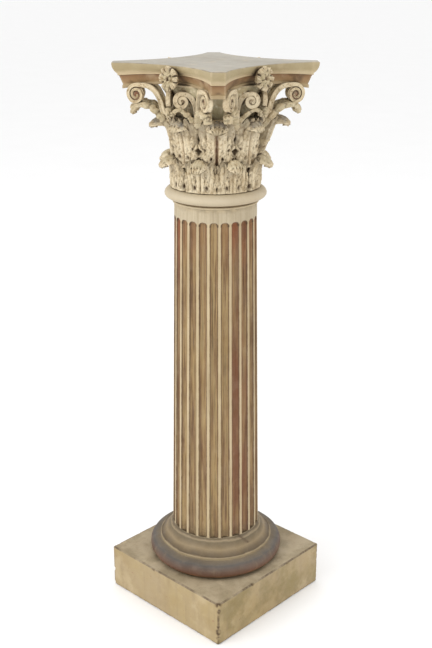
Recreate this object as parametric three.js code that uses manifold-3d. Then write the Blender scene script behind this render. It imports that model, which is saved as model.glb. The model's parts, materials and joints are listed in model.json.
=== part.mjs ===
// A pedestal column of the Corinthian order, in millimetres, +Z up.
// The origin is the middle of the underside. The abacus' horns stand on the diagonals of X and Y.
// The front corner of the plinth and the front horn point to +X, -Y.

import * as THREE from 'three';
import { mergeVertices } from 'three/addons/utils/BufferGeometryUtils.js';
import Module from 'manifold-3d';

const wasm = await Module();
wasm.setup();

// Driving dimensions
const gap = 0.3;
const sides = 4;
const turn = 2 * Math.PI;
const turnedSteps = 28;
const bellSteps = 16;

// Plinth
const plinthHalf = 168.9;
const plinthHeight = 100.7;
const plinthArris = 4;
const plinthCornerSteps = 3;

// Base moulding
const baseBottom = plinthHeight + gap;
const baseTop = 178;
const torusCentre = { r: 131.7, z: 119.5 };
const torusRadius = 18.2;
const baseFilletRadius = 126.5;
const baseFilletTop = 144.5;
const hollowTop = { r: 103.4, z: 169.5 };
const torusArc = { from: -80, to: 100, steps: 5 };
const edgeRound = 1.5;

// Shaft
const shaftBottom = baseTop + gap;
const shaftTop = 918.7;
const shaftFootRadius = 97.9;
const shaftHeadRadius = 85.6;
const fluteCount = 24;
const fluteFillet = 7.2;
const fluteDepth = 6.2;
const fluteArchTop = 893;
const firstFluteAngle = THREE.MathUtils.degToRad(-48.8);
const fluteArchSteps = 3;
const fluteClosed = 0.02;

// Neck ring
const neckBottom = shaftTop + gap;
const neckTop = 951.4;
const beadRadius = 89.4;
const beadHeight = 5.6;
const neckTorus = { r: 93, z: 937.7, out: 12.5, down: 9.7, up: 13.5 };

// Capital
const capitalBottom = neckTop + gap;
const capitalTop = 1161.8;
const bellRadius = 84;
const bellLipRadius = 106.5;
const bellLipHeight = 13;
const bellSlope = [
  { out: 0, z: 1075 },
  { out: 5, z: 1110 },
  { out: 14.5, z: 1136.8 },
];
const leafHalfWidth = 33.5;
const lowerLeafAngle = THREE.MathUtils.degToRad(20.8);
const leanRise = 64;
const cornerLeafLean = [8, 17, 8, 0];
const faceLeafLean = -4;

// Corner volutes, inner scrolls and the leaves that carry them
const voluteCentre = { along: 156.6, aside: 21.5, z: 1138.8 };
const voluteRadius = 18.3;
const voluteTilt = THREE.MathUtils.degToRad(24);
const voluteDepth = 11;
const voluteWind = { turns: 1.25, steps: 8 };
const scrollCentre = { along: 112, aside: 17, z: 1133.5 };
const scrollRadius = 14.3;
const scrollTilt = THREE.MathUtils.degToRad(36);
const scrollDepth = 9;
const scrollWind = { turns: 1.05, steps: 6 };
const stemBend = -24;
const stemTilt = THREE.MathUtils.degToRad(7);
const windStart = THREE.MathUtils.degToRad(82);
const windShrink = 0.72;
const windWidth = { outside: 7.4, inside: 3.4 };

// Abacus
const abacusBottom = capitalTop + gap;
const abacusTop = 1200;
const hornHalfSide = 154.4;
const hornHalfWidth = 13.2;
const sideMiddle = 119;
const mouldingDepth = 51;
const mouldingShrink = 0.26;
const sideSteps = 8;
const seatRadius = 94.5;

// Flowers
const flowerNames = ['fleuron_front', 'fleuron_right', 'fleuron_back', 'fleuron_left'];
const flowerRadius = 23.8;
const flowerBack = 102;
const flowerFront = 137;
const flowerHeight = 1176;
const petals = 5;
const petalDepth = 0.14;

// Geometry helpers

function signedVolume(geometry) {
  const points = geometry.getAttribute('position');
  const index = geometry.getIndex();
  const a = new THREE.Vector3();
  const b = new THREE.Vector3();
  const c = new THREE.Vector3();
  let volume = 0;
  for (let i = 0; i < index.count; i += 3) {
    a.fromBufferAttribute(points, index.getX(i));
    b.fromBufferAttribute(points, index.getX(i + 1));
    c.fromBufferAttribute(points, index.getX(i + 2));
    volume += a.dot(b.cross(c)) / 6;
  }
  return volume;
}

// A closed body through rings that all have the same number of points, with a fan on each end.
function loft(rings) {
  const count = rings[0].length;
  const points = rings.flat();
  const faces = [];
  for (let k = 0; k + 1 < rings.length; k += 1) {
    for (let i = 0; i < count; i += 1) {
      const j = (i + 1) % count;
      const a = k * count + i;
      const b = k * count + j;
      faces.push(a, b, b + count, a, b + count, a + count);
    }
  }
  for (const [first, flipped] of [[0, true], [(rings.length - 1) * count, false]]) {
    const middle = new THREE.Vector3();
    for (let i = 0; i < count; i += 1) {
      middle.addScaledVector(points[first + i], 1 / count);
    }
    points.push(middle);
    for (let i = 0; i < count; i += 1) {
      const a = first + i;
      const b = first + (i + 1) % count;
      faces.push(points.length - 1, flipped ? b : a, flipped ? a : b);
    }
  }
  const geometry = new THREE.BufferGeometry().setFromPoints(points);
  geometry.setIndex(faces);
  if (signedVolume(geometry) < 0) {
    geometry.setIndex(faces.slice().reverse());
  }
  return geometry;
}

// A turned body: the profile runs from the axis, round the outside and back to the axis.
function turned(profile, steps = turnedSteps) {
  const outline = profile.map(([r, z]) => new THREE.Vector2(r, z));
  const geometry = new THREE.LatheGeometry(outline, steps);
  geometry.rotateX(Math.PI / 2);
  geometry.deleteAttribute('normal');
  geometry.deleteAttribute('uv');
  return mergeVertices(geometry, 1e-4);
}

function toSolid(geometry) {
  const merged = mergeVertices(geometry, 1e-4);
  return new wasm.Manifold(new wasm.Mesh({
    numProp: 3,
    vertProperties: new Float32Array(merged.getAttribute('position').array),
    triVerts: new Uint32Array(merged.getIndex().array),
  }));
}

function toGeometry(solid) {
  const mesh = solid.getMesh();
  const geometry = new THREE.BufferGeometry();
  geometry.setAttribute('position', new THREE.Float32BufferAttribute(mesh.vertProperties, 3));
  geometry.setIndex(Array.from(mesh.triVerts));
  return geometry;
}

function arc(r, z, radiusR, radiusZ, from, to, steps) {
  const points = [];
  for (let i = 0; i <= steps; i += 1) {
    const a = THREE.MathUtils.degToRad(from + (to - from) * i / steps);
    points.push([r + radiusR * Math.cos(a), z + radiusZ * Math.sin(a)]);
  }
  return points;
}

// Places a point that is `along` a horizontal direction, `aside` to its left and at height z.
function place(angle, along, aside, z) {
  return new THREE.Vector3(
    along * Math.cos(angle) - aside * Math.sin(angle),
    along * Math.sin(angle) + aside * Math.cos(angle),
    z,
  );
}

// Plinth

function roundedSquare(half, radius, z) {
  const ring = [];
  for (let side = 0; side < sides; side += 1) {
    const middle = place(side * turn / sides, half - radius, half - radius, z);
    for (let i = 0; i <= plinthCornerSteps; i += 1) {
      const a = side * turn / sides + i / plinthCornerSteps * turn / sides;
      ring.push(middle.clone().add(place(a, radius, 0, 0)));
    }
  }
  return ring;
}

function plinth() {
  const bevel = plinthArris / 2;
  return loft([
    roundedSquare(plinthHalf - bevel, plinthArris, 0),
    roundedSquare(plinthHalf, plinthArris, bevel),
    roundedSquare(plinthHalf, plinthArris, plinthHeight - plinthArris),
    roundedSquare(plinthHalf - bevel / 2, plinthArris, plinthHeight - plinthArris / 3),
    roundedSquare(plinthHalf - plinthArris, plinthArris, plinthHeight),
  ]);
}

// Base moulding: a torus, a fillet, a hollow slope and the seat of the shaft.
function baseMoulding() {
  const { r, z } = torusCentre;
  const torus = arc(r, z, torusRadius, torusRadius, torusArc.from, torusArc.to, torusArc.steps);
  const rise = hollowTop.z - baseFilletTop;
  const run = baseFilletRadius - 2 * edgeRound - hollowTop.r;
  return turned([
    [0, baseBottom],
    [torus[0][0], baseBottom],
    ...torus,
    [baseFilletRadius, torus.at(-1)[1] + 2 * gap],
    [baseFilletRadius, baseFilletTop - 1],
    [baseFilletRadius - edgeRound, baseFilletTop],
    [hollowTop.r + run * 0.55, baseFilletTop + rise * 0.25],
    [hollowTop.r + run * 0.2, baseFilletTop + rise * 0.6],
    [hollowTop.r, hollowTop.z],
    [shaftFootRadius + 2, hollowTop.z + 2 * edgeRound],
    [shaftFootRadius + gap, baseTop],
    [0, baseTop],
  ]);
}

// Shaft

function shaftRadius(z) {
  const t = (z - shaftBottom) / (shaftTop - shaftBottom);
  return THREE.MathUtils.lerp(shaftFootRadius, shaftHeadRadius, t);
}

function fluteHalfWidth(z) {
  return (shaftRadius(z) * turn / fluteCount - fluteFillet) / 2;
}

// One level of the shaft: each flute is a hollow of `open` times its full width.
function flutedRing(z, open) {
  const radius = shaftRadius(z);
  const ring = [];
  for (let k = 0; k < fluteCount; k += 1) {
    const centre = firstFluteAngle + k * turn / fluteCount;
    for (const u of [-1, -0.45, 0.45, 1]) {
      const angle = centre + u * open * fluteHalfWidth(z) / radius;
      const depth = fluteDepth * open * (1 - u * u);
      ring.push(place(angle, radius - depth, 0, z));
    }
  }
  return ring;
}

function shaft() {
  const archRise = fluteHalfWidth(fluteArchTop);
  const rings = [flutedRing(shaftBottom, 1)];
  for (let i = 0; i <= fluteArchSteps; i += 1) {
    const a = i / fluteArchSteps * Math.PI / 2;
    const open = Math.max(Math.cos(a), fluteClosed);
    rings.push(flutedRing(fluteArchTop - archRise * (1 - Math.sin(a)), open));
  }
  rings.push(flutedRing(shaftTop, fluteClosed));
  return loft(rings);
}

// Neck ring: a bead and a torus.
function neckRing() {
  const { r, z, out, down, up } = neckTorus;
  const beadMiddle = neckBottom + beadHeight / 2;
  return turned([
    [0, neckBottom],
    [shaftHeadRadius, neckBottom],
    ...arc(beadRadius - beadHeight / 2, beadMiddle, beadHeight / 2, beadHeight / 2, -60, 60, 2),
    [shaftHeadRadius + 0.4, neckBottom + beadHeight],
    [shaftHeadRadius + 0.4, z - down],
    ...arc(r, z, out, down, -90, 0, 3),
    ...arc(r, z, out, up, 22, 84, 3),
    [r - 1, neckTop],
    [0, neckTop],
  ]);
}

// Bell of the capital, which grows to a lip under the abacus.
function bell(grow = 0) {
  const lipBottom = capitalTop - bellLipHeight;
  return turned([
    [0, capitalBottom],
    [bellRadius, capitalBottom],
    ...bellSlope.map(({ out, z }) => [bellRadius + out, z]),
    [bellLipRadius + grow, lipBottom],
    [bellLipRadius + grow, capitalTop + grow],
    [0, capitalTop + grow],
  ], bellSteps);
}

// Acanthus leaf. Its rings climb the blade, run out under the tip that curls over, and end there:
// [radius and height of the front, share of the half width, thickness, drop of both edges].
const lowerLeafRings = [
  [90, capitalBottom + 1, 0.94, 14, 0],
  [91.2, 972, 1, 13, 0],
  [92, 985, 0.86, 12, 0],
  [93, 997, 0.98, 13, 0],
  [96, 1004, 0.62, 18, 2],
  [102, 1005.5, 0.56, 17, 4],
  [109, 1002, 0.54, 13, 4],
  [114.5, 996.5, 0.46, 8.5, 4],
  [118, 990.5, 0.24, 3, 2],
];
const upperLeafRings = [
  [88, 1000, 0.9, 14, 0],
  [90.2, 1022, 1, 13, 0],
  [92, 1040, 0.84, 12, 0],
  [94.5, 1058, 1, 12, 0],
  [99, 1068, 0.68, 17, 2],
  [106, 1075, 0.62, 18, 4],
  [115, 1076, 0.62, 15.5, 4],
  [124, 1073.8, 0.5, 11, 3],
  [131.3, 1068.8, 0.24, 3, 2],
];

// Round one ring: [share of its half width, height above the blade, share of its thickness]
const leafSection = [
  [-1, -1.5, 0],
  [-0.45, 2, 0],
  [0, 0, 0],
  [0.45, 2, 0],
  [1, -1.5, 0],
  [0.62, 0, -0.8],
  [0, 0, -1],
  [-0.62, 0, -0.8],
];
const edgePull = 0.35;

// A leaning leaf stands out further by `lean`, and its back still runs into the bell.
function leaf(angle, table, lean) {
  const foot = table[0][1];
  const leant = (z) => lean * THREE.MathUtils.smoothstep(z, foot, foot + leanRise);
  const spine = table.map(([r, z]) => new THREE.Vector2(r + leant(z), z));
  return loft(table.map(([, , share, thickness, drop], k) => {
    const middle = spine[k];
    const before = spine[Math.max(k - 1, 0)];
    const after = spine[Math.min(k + 1, spine.length - 1)];
    const along = after.clone().sub(before).normalize();
    const wrap = leafHalfWidth * share / Math.max(middle.x, bellRadius);
    const depth = thickness + Math.max(leant(middle.y), 0) * along.y ** 2;
    return leafSection.map(([across, lift, deep]) => {
      const out = lift + deep * depth;
      const fall = drop * across ** 2;
      const r = middle.x + along.y * out - edgePull * fall;
      return place(angle + across * wrap, r, 0, middle.y - along.x * out - fall);
    });
  }));
}

// A ribbon in an upright plane: path points are [distance along the plane, z, width, depth].
function ribbon(path, toPlace) {
  const rings = path.map(([x, z, width, depth], i) => {
    const [x0, z0] = path[Math.max(i - 1, 0)];
    const [x1, z1] = path[Math.min(i + 1, path.length - 1)];
    const length = Math.hypot(x1 - x0, z1 - z0);
    const normal = { x: -(z1 - z0) / length, z: (x1 - x0) / length };
    const corner = (side, out) => {
      const reach = side * width / 2;
      return toPlace(x + normal.x * reach, z + normal.z * reach, out * depth / 2);
    };
    return [corner(1, 1), corner(-1, 1), corner(-1, -1), corner(1, -1)];
  });
  return loft(rings);
}

// The scroll's path: it climbs the given stem, then winds in clockwise from the top.
function scrollPath(stem, centre, radius, depth, wind) {
  const path = stem.map(([x, z, width]) => [x, z, width, depth]);
  for (let i = 0; i <= wind.steps; i += 1) {
    const t = i / wind.steps;
    const a = windStart - t * wind.turns * turn;
    const r = radius * (1 - windShrink * t);
    const width = THREE.MathUtils.lerp(windWidth.outside, windWidth.inside, t);
    path.push([r * Math.cos(a), centre.z + r * Math.sin(a), width, depth]);
  }
  return path;
}

// A plane through the scroll's centre, turned from the direction `angle` by `tilt`. Further in
// than the scroll it bends towards the stalk.
function scrollPlane(angle, hand, centre, tilt) {
  return (x, z, out) => {
    const near = Math.max(x, stemBend);
    const far = Math.min(x - stemBend, 0);
    const along = centre.along + x * Math.cos(tilt) + out * Math.sin(tilt);
    const shift = near * Math.sin(tilt) + far * Math.sin(stemTilt);
    return place(angle, along, hand * (centre.aside - shift + out * Math.cos(tilt)), z);
  };
}

function cornerVolute(angle, hand) {
  const toPlace = scrollPlane(angle, hand, voluteCentre, voluteTilt);
  const stem = [
    [-72, 1062, 16],
    [-65, 1084, 14],
    [-58, 1108, 12],
    [-53, 1128, 11],
    [-43, 1145, 11],
    [-29, 1155, 10],
    [-12, 1157, 8.5],
  ];
  const path = scrollPath(stem, voluteCentre, voluteRadius, voluteDepth, voluteWind);
  return ribbon(path, toPlace);
}

function innerScroll(angle, hand) {
  const toPlace = scrollPlane(angle, hand, scrollCentre, scrollTilt);
  const stem = [
    [-36, 1062, 18],
    [-30, 1094, 12],
    [-26.5, 1124, 11],
    [-15, 1143, 10],
  ];
  const path = scrollPath(stem, scrollCentre, scrollRadius, scrollDepth, scrollWind);
  return ribbon(path, toPlace);
}

// The leaf that leaves the stalk, carries a volute from below and curls over at its tip.
function carryingLeaf(angle, hand) {
  return ribbon([
    [-66, 1070, 16, 15],
    [-52, 1098, 14, 17],
    [-34, 1115, 13, 18],
    [-15, 1119.5, 12, 18],
    [-2, 1117.5, 10, 16],
    [7, 1110, 9, 13],
    [10.5, 1101, 4, 8],
  ], scrollPlane(angle, hand, voluteCentre, voluteTilt));
}

// Abacus

// Moulding of the abacus: [inset from the top edge, depth below the top].
const abacusMoulding = [
  [1.2, 0],
  [0, 1.5],
  [0.6, 8],
  [4.5, 16],
  [11.5, 22.3],
  [11.5, 25],
  [15.5, 26],
  [18.5, 33],
  [22, 44],
  [22, mouldingDepth],
];

// The sides are arcs that move straight in. The horns move in along the diagonals at full width.
function abacusRing(inset, depth) {
  const halfCut = hornHalfSide - Math.SQRT2 * hornHalfWidth;
  const sag = hornHalfSide - sideMiddle;
  const arcRadius = (halfCut ** 2 + sag ** 2) / (2 * sag);
  const hornInset = inset * Math.SQRT1_2;
  const ring = [];
  for (let side = 0; side < sides; side += 1) {
    for (let i = 0; i <= sideSteps; i += 1) {
      const t = 2 * i / sideSteps - 1;
      const edge = sideMiddle + arcRadius - Math.sqrt(arcRadius ** 2 - (halfCut * t) ** 2);
      const along = edge - THREE.MathUtils.lerp(inset, hornInset, t ** 2);
      const aside = (halfCut - hornInset) * t;
      const share = 1 - mouldingShrink * (1 - t ** 2);
      ring.push(place(side * turn / sides, along, aside, abacusTop - depth * share));
    }
  }
  return ring;
}

function seatRing(z, radius) {
  const ring = [];
  const steps = sideSteps + 1;
  for (let i = 0; i < sides * steps; i += 1) {
    ring.push(place((i - sideSteps / 2) / steps * turn / sides, radius, 0, z));
  }
  return ring;
}

function abacus(grow = 0) {
  const rings = abacusMoulding.map(([inset, depth]) => abacusRing(inset - grow, depth));
  if (grow > 0) {
    rings.forEach((ring, k) => ring.forEach((point) => point.setZ(point.z + (k ? -grow : grow))));
  }
  rings.push(seatRing(abacusBottom - grow, seatRadius));
  return loft(rings);
}

// Flower: petals round a sunk heart, on the direction `angle`.
function flower(angle) {
  const levels = [
    [flowerBack, 0.8],
    [flowerFront - 14, 1],
    [flowerFront - 3, 0.78],
    [flowerFront, 0.5],
    [flowerFront - 7, 0.26],
  ];
  const steps = petals * 2;
  return loft(levels.map(([along, share]) => Array.from({ length: steps }, (unused, i) => {
    const a = i / steps * turn + Math.PI / 2;
    const petal = 1 - petalDepth + petalDepth * Math.cos(petals * (a - Math.PI / 2));
    const r = flowerRadius * share * petal;
    return place(angle, along, r * Math.cos(a), flowerHeight + r * Math.sin(a));
  })));
}

// Capital: the carved block, cut clear of the abacus and the flowers.
function capitalParts() {
  const parts = [bell()];
  for (let k = 0; k < sides; k += 1) {
    const corner = (k - 0.5) * turn / sides;
    const face = k * turn / sides;
    parts.push(leaf(corner, upperLeafRings, cornerLeafLean[k]));
    parts.push(leaf(face, upperLeafRings, faceLeafLean));
    for (const hand of [-1, 1]) {
      parts.push(leaf(corner + hand * lowerLeafAngle, lowerLeafRings, 0));
      parts.push(cornerVolute(corner, hand));
      parts.push(innerScroll(face, hand));
      parts.push(carryingLeaf(corner, hand));
    }
  }
  return parts;
}

const abacusCutter = toSolid(abacus(gap));
const bellCutter = toSolid(bell(gap));
const flowers = flowerNames.map((name, k) => {
  const angle = (k - 1) * turn / sides;
  return toSolid(flower(angle)).subtract(abacusCutter).subtract(bellCutter);
});

function capital() {
  const block = capitalParts().map(toSolid).reduce((whole, part) => whole.add(part));
  return toGeometry(block.subtract(abacusCutter));
}

// Materials and the scene graph

function paint(color, roughness = 0.75) {
  return new THREE.MeshStandardMaterial({ color, roughness, metalness: 0 });
}

const column = new THREE.Group();

function addPiece(name, geometry, material) {
  const mesh = new THREE.Mesh(geometry, material);
  mesh.name = name;
  column.add(mesh);
}

addPiece('plinth', plinth(), paint(0xc4ae84));
addPiece('base_moulding', baseMoulding(), paint(0x9b8a6e));
addPiece('shaft', shaft(), paint(0xb9a07a));
addPiece('neck_ring', neckRing(), paint(0xcbb893));
addPiece('capital', capital(), paint(0xcfbd94));
addPiece('abacus', abacus(), paint(0xb8a888));
flowerNames.forEach((name, k) => addPiece(name, toGeometry(flowers[k]), paint(0xcab78c)));

export default column;
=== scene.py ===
"""A painted pedestal column of the Corinthian order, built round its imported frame.

The named sizes and the shapes are in millimetres, and meshes, the panel's sizes, the plinth and
the stage are in metres. The front corner points to +X, -Y.
"""

import json
import math
import random

import bpy
import numpy as np
from bpy.props import FloatProperty, FloatVectorProperty, IntProperty, PointerProperty
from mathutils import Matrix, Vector, noise
from mathutils.bvhtree import BVHTree

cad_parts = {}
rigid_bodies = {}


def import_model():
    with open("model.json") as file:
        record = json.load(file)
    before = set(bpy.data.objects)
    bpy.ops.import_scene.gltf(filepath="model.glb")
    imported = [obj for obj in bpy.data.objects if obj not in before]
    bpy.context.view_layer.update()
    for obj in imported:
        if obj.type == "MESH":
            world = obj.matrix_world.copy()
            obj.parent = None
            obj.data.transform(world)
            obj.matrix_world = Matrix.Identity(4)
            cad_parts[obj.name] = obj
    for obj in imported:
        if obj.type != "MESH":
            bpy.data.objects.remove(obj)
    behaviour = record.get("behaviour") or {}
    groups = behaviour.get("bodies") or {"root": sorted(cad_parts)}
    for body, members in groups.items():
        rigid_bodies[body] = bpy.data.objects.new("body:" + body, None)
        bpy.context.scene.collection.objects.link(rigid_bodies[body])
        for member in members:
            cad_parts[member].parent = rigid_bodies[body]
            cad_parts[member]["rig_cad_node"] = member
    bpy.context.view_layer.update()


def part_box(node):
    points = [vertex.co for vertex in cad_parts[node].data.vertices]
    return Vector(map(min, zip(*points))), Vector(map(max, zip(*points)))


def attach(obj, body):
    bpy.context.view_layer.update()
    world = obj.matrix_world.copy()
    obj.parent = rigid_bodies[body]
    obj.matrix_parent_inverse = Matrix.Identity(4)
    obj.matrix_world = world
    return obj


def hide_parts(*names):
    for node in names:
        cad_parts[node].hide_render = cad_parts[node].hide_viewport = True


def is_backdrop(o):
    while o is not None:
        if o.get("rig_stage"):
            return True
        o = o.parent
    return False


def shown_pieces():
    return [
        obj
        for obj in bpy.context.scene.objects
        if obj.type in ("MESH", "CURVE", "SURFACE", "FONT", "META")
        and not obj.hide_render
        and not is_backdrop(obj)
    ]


bl_info = {
    "name": "Corinthian Pedestal Column",
    "version": (1, 0, 0),
    "blender": (4, 5, 0),
    "location": "3D View > Sidebar > Column",
    "description": "Builds a painted pedestal column of the Corinthian order",
    "category": "Add Mesh",
}

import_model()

MM = 0.001
TURN = 2 * math.pi
SIDES = 4
SEED = 7
# Points nearer to each other than this, in metres, become one
MERGE = 0.00001

# Turned profiles: [radius, height, shade band]
BASE_PROFILE = (
    (0, 101, 0), (134, 101, 0), (140.5, 103.4, .05), (146, 108.2, .1), (149.2, 114, .16),
    (149.9, 119.5, .22), (149.2, 125, .28), (146, 130.8, .34), (140.6, 135.4, .4),
    (134, 137.6, .44), (128.2, 137.9, .46), (126.6, 138.6, .5), (126.5, 141.5, .53),
    (126.4, 143.6, .55), (125.4, 144.6, .58), (123.2, 145.0, .6), (120.6, 147.2, .63),
    (117.2, 150.6, .67), (113.9, 153.6, .71), (110.9, 156.8, .75), (108.2, 160.6, .79),
    (106, 164.6, .83), (104.3, 168, .86), (103.5, 169.4, .88), (101.8, 170.4, .9),
    (100, 172.6, .92), (98.8, 175.4, .95), (98.3, 178, 1), (0, 178, 1),
)
NECK_PROFILE = (
    (0, 919, 0), (85.9, 919, 0), (87.4, 919.4, .05), (88.9, 920.4, .1), (89.4, 921.8, .16),
    (88.9, 923.3, .22), (87.4, 924.3, .27), (86.2, 924.8, .3), (86, 926.2, .33),
    (87.6, 927.6, .36), (92.8, 928, .4), (98, 929.4, .46), (102.4, 932.4, .54),
    (105, 936.2, .62), (105.4, 939.2, .68), (104, 943.6, .75), (100.6, 947.4, .82),
    (96.6, 949.9, .9), (93.2, 951.1, .96), (90, 951.4, 1), (0, 951.4, 1),
)
BELL_PROFILE = (
    (0, 951.7, 0), (84, 951.7, 0), (84, 1000, .1), (84.2, 1075, .3), (85.6, 1094, .4),
    (89, 1110, .5), (93.4, 1124, .6), (98.5, 1136.8, .7), (103, 1144, .8),
    (106.2, 1148.2, .85), (106.5, 1150, .9), (106.5, 1161.8, 1), (0, 1161.8, 1),
)

# Abacus moulding: [inset from the top edge, depth below the top, shade band]
ABACUS_MOULDING = (
    (12, 0, 0), (4, .1, 0), (1.6, .5, .03), (.4, 1.3, .08),
    (0, 2.6, .16), (.1, 5, .22), (.6, 8, .26), (1.8, 11.4, .3), (3.4, 14.4, .33),
    (5.6, 17.4, .36), (8.4, 20.2, .39), (11, 22.1, .41), (11.5, 22.4, .42), (11.5, 25.2, .46),
    (12, 25.8, .5), (14.6, 26, .54), (15.8, 28.4, .6), (17.2, 31.6, .66), (18.8, 35.4, .72),
    (20.6, 39.6, .78), (22.4, 43, .83), (22.6, 44, .86), (20.9, 44.6, .9), (20.5, 45.4, .93),
    (20.5, 50.4, .97), (21, 51, 1),
)
HORN_HALF_SIDE = 154.4
HORN_HALF_WIDTH = 13.2
SIDE_MIDDLE = 119
MOULDING_SHRINK = 0.26
ABACUS_TOP = 1200
ABACUS_FOOT = 1162.1
ABACUS_SEAT = 94.5

# The crack in the base moulding: its angle in degrees and height at the middle, its ends, and
# its width in degrees
CRACK_ANGLE = -10
CRACK_HEIGHT = 168
CRACK_ENDS = (157, 180)
CRACK_WIDTH = 1.8

SHAFT_FOOT_RADIUS = 97.9
SHAFT_HEAD_RADIUS = 85.6
FLUTE_FILLET = 7.2
FLUTE_TOP = 893
FLUTE_TOP_RADIUS = 85.9
FLUTE_START = math.radians(-48.8)
# Redness of the flutes that the photo shows, counted from the first
FLUTE_REDNESS = {
    0: 0.05, 1: 0.3, 2: 1, 3: 0.9, 4: 0.55, 5: 0.7, 20: 0.95, 21: 0.4, 22: 0.5, 23: 0.35,
}

# The two rows of leaves. The blade's front is [height, radius], and the hood's underside is
# [radius, height, thickness], with its half-widths from root to tip. The leaflets of half a
# leaf are [place across at the foot, height of the foot, place across at the tip, height of
# the tip, half-width], as shares of the leaf. Eyes are [place across, height, half-height],
# and notches in the leaf's sides are [height, depth].
LOWER_ROW = {
    "blade": ((952.7, 90), (980, 91.2), (994, 92.6), (1002, 94.5), (1008, 96.5)),
    "hood": (
        (86, 999, 18), (93, 1003, 18), (100, 1005.5, 16), (106, 1004.6, 13.5), (111, 1002, 11),
        (114.2, 999.4, 8), (116.2, 996.4, 4), (116.8, 995, 2.5),
    ),
    "hood_widths": (14, 16, 17, 16, 13, 8),
    "leaflets": (
        (0, -0.2, 0, 1.2, 0.18), (0.2, -0.3, 0.36, 1.05, 0.2), (0.5, -0.3, 0.62, 0.92, 0.22),
        (0.8, -0.3, 0.92, 0.75, 0.2), (0.66, -0.4, 0.66, 0.42, 0.14), (0.16, -0.4, 0.16, 0.42, 0.12),
    ),
    "eyes": ((0.33, 963.5, 5.5), (0.92, 962, 5.5)),
    "notches": ((999, 4),),
    "droop": 2, "dust": 0.1, "pipes": 1, "shadow": 990,
}
UPPER_ROW = {
    "blade": (
        (1000, 88), (1028, 90.5), (1046, 92.5), (1056, 94.5), (1064, 97), (1072, 101), (1080, 107),
    ),
    "hood": (
        (88, 1067, 17), (96, 1073, 17), (104, 1077, 16), (111, 1078.4, 14.5), (118, 1077.8, 12.5),
        (125, 1075, 9.5), (129.8, 1071.4, 5.5), (131.2, 1069.6, 2.5),
    ),
    "hood_widths": (18, 21, 22, 20, 15, 9),
    "leaflets": (
        (0.13, 0, 0.14, 1.15, 0.13), (0.2, 0.05, 0.42, 0.96, 0.17), (0.3, 0, 0.7, 0.8, 0.17),
        (0.55, 0, 0.95, 0.64, 0.16), (0.42, -0.1, 0.5, 0.45, 0.13), (0.8, -0.1, 0.98, 0.36, 0.13),
    ),
    "eyes": ((0.3, 1022, 4), (0.62, 1040, 3), (0.9, 1020, 4)),
    "notches": ((1020, 3), (1038, 7), (1060, 3)),
    "droop": 3.5, "dust": 0.95, "pipes": 0.55, "shadow": 1064,
}
BLADE_HALF_WIDTH = 38
BELL_RADIUS = 84
LOWER_ANGLE = math.radians(20.8)
# Of the four corner leaves: how far each leans out, and how much its hood rises
UPPER_LEAN = (8, 17, 8, 0)
UPPER_RISE = (6, 3, 0, 0)
LEAN_HEIGHT = 64
FACE_RISE = 2
FACE_REACH = 0.64
HOOD_ROOT = 97
# Shares of a hood's length at which its half-widths are given, and places of the drilled holes
# across its rim
HOOD_PLACES = (0, .3, .55, .75, .9, 1)
HOOD_HOLES = (-0.98, -0.6, -0.2, 0.2, 0.6, 0.98)

# Sections of bands and leaves: [across, out of the plane], both from -1 to 1. The rimmed one
# has a raised rim on both edges and a sunk channel between, on both faces.
RIMMED = (
    (.8, 0), (.82, .35), (1, .62), (.96, .92), (.8, 1), (.55, .96), (.35, .7), (0, .62),
    (-.4, .7), (-.6, .96), (-.85, 1), (-1, .8), (-1, 0), (-1, -.8), (-.85, -1), (-.6, -.96),
    (-.4, -.7), (0, -.62), (.35, -.7), (.55, -.96), (.8, -1), (.96, -.92), (1, -.62), (.82, -.35),
)
FLAT = (
    (1, .3), (.96, .82), (.8, 1), (.55, .92), (-.5, .9), (-.8, 1), (-.97, .8), (-1, 0),
    (-.97, -.8), (-.8, -1), (-.5, -.9), (.55, -.92), (.8, -1), (.96, -.82),
)
ROUNDED = (
    (1, .2), (.9, .75), (.55, 1), (0, .9), (-.6, .98), (-1, .6), (-1, -.6), (-.6, -.98), (0, -.9),
    (.55, -1), (.9, -.75), (1, -.2),
)

# The scrolls under the corners and those beside the flowers, in upright planes. Centres are
# [out, aside, height], stems [distance along the plane, height, width], carrying leaves
# [distance along the plane, height, width, depth] and buds [distance, height, radius].
VOLUTE = {
    "name": "volute", "leaf_name": "outer_under_leaf", "bud_name": "outer_bud",
    "centre": (156.6, 21.5, 1138.8), "radius": 18.3, "tilt": math.radians(24), "depth": 11,
    "turns": 1.75, "widths": (7.4, 3.2), "section": RIMMED, "redness": 1,
    "stem": (
        (-76, 1074, 10), (-71, 1082, 11), (-65, 1092, 12), (-58.5, 1108, 12), (-53, 1128, 11),
        (-43, 1145, 11), (-29, 1155, 10), (-12, 1157.5, 8.5),
    ),
    "leaf": (
        (-73, 1074, 9, 9), (-66, 1084, 11, 13), (-53, 1098, 13, 17), (-34, 1114, 12, 18),
        (-15, 1119, 11, 20), (-3, 1117, 10, 22), (5, 1110, 11, 20), (8.5, 1101, 6, 14),
    ),
    "knots": 5, "bud": (6, 1110, 9),
}
INNER_SCROLL = {
    "name": "inner_scroll", "leaf_name": "inner_under_leaf", "bud_name": "inner_bud",
    "centre": (112, 17, 1133.5), "radius": 14.3, "tilt": math.radians(36), "depth": 9,
    "turns": 1.45, "widths": (8.4, 6.2), "section": FLAT, "redness": 0.35,
    "stem": ((-34, 1074, 12), (-30, 1094, 12), (-26.5, 1124, 11), (-15, 1143, 10)),
    "leaf": (
        (-32, 1080, 11, 12), (-25, 1092, 10, 13), (-11, 1107, 9, 14), (5, 1117, 7, 13),
        (15, 1114, 6, 11), (20, 1107, 3, 7),
    ),
    "knots": 4, "bud": (17, 1110, 6),
}
STALK_ANGLE = math.radians(21)
STALK_LINE = ((86, 1066), (90, 1074), (95, 1082), (99, 1088), (101, 1093))
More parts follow.
